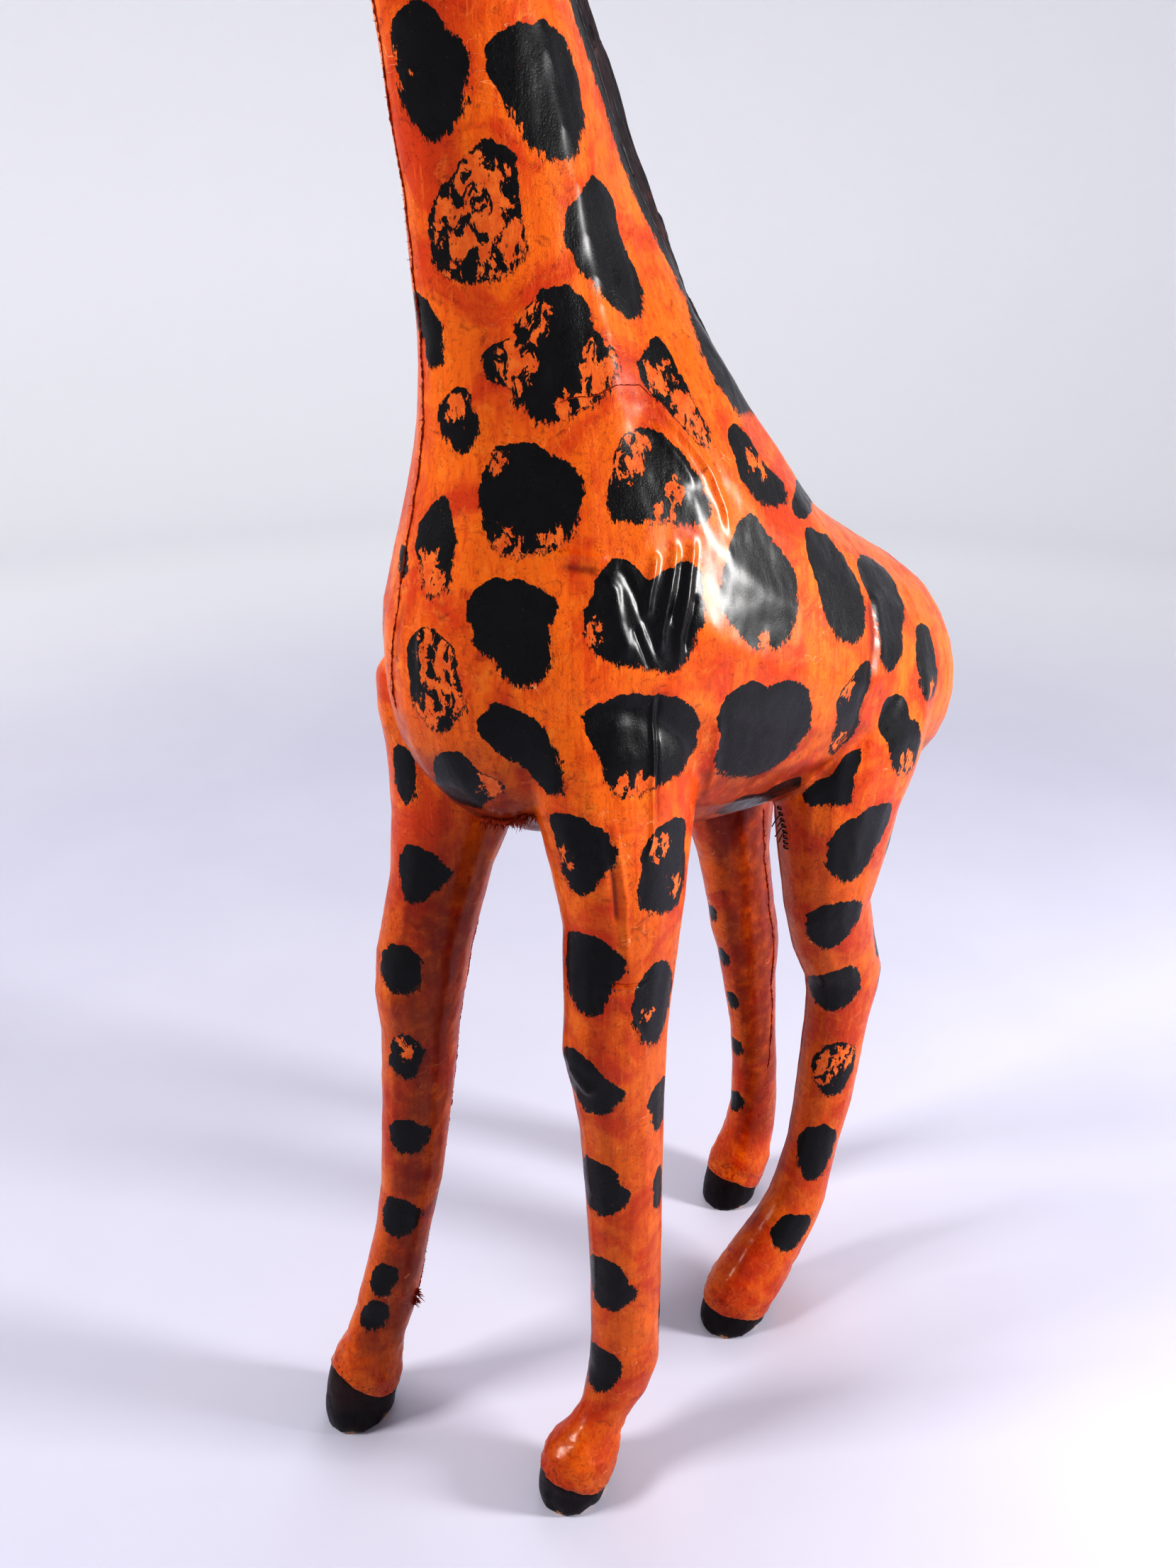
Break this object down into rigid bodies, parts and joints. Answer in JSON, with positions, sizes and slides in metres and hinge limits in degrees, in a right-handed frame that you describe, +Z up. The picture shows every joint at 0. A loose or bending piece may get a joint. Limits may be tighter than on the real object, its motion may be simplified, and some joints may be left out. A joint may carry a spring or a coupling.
{
  "type": "giraffe statue",
  "caption": "Walking giraffe figure of carved wood cores wrapped in varnished, spot-painted leather, with black hooves, standing free as a decoration.",
  "frame": {"origin": "on the floor plane under the middle of the bounding box", "axes": "+Z up, the giraffe faces -Y, and its left side is +X"},
  "size_m": [0.161, 0.4806, 0.942],
  "materials": {
    "hide_leather": "thin goat-type leather, glued on wet, stained orange-tan, painted with black spots and varnished",
    "carved_wood": "bare carved light wood, hidden under the leather",
    "dowel_wood": "plain turned dowel",
    "hoof_black": "wood painted satin black, chipped to pale wood at the sole",
    "eye_glass": "dark glossy glass bead",
    "mane_hair": "dark brushed strip, painted and varnished"
  },
  "bodies": {
    "root": {"torso_core": "carved_wood", "neck_core": "carved_wood", "head_core": "carved_wood", "front_left_leg_core": "carved_wood", "front_right_leg_core": "carved_wood", "hind_left_leg_core": "carved_wood", "hind_right_leg_core": "carved_wood", "front_left_hoof": "hoof_black", "front_right_hoof": "hoof_black", "hind_left_hoof": "hoof_black", "hind_right_hoof": "hoof_black", "leg_dowels": "dowel_wood", "hoof_pegs": "dowel_wood", "neck_dowel": "dowel_wood", "head_dowel": "dowel_wood", "torso_hide": "hide_leather", "neck_hide": "hide_leather", "head_hide": "hide_leather", "front_left_leg_hide": "hide_leather", "front_right_leg_hide": "hide_leather", "hind_left_leg_hide": "hide_leather", "hind_right_leg_hide": "hide_leather", "left_ear": "hide_leather", "right_ear": "hide_leather", "left_horn": "hide_leather", "right_horn": "hide_leather", "horn_tips": "hoof_black", "left_eye": "eye_glass", "right_eye": "eye_glass", "mane": "mane_hair", "tail": "hide_leather", "tail_tuft": "mane_hair"}
  },
  "joints": []
}
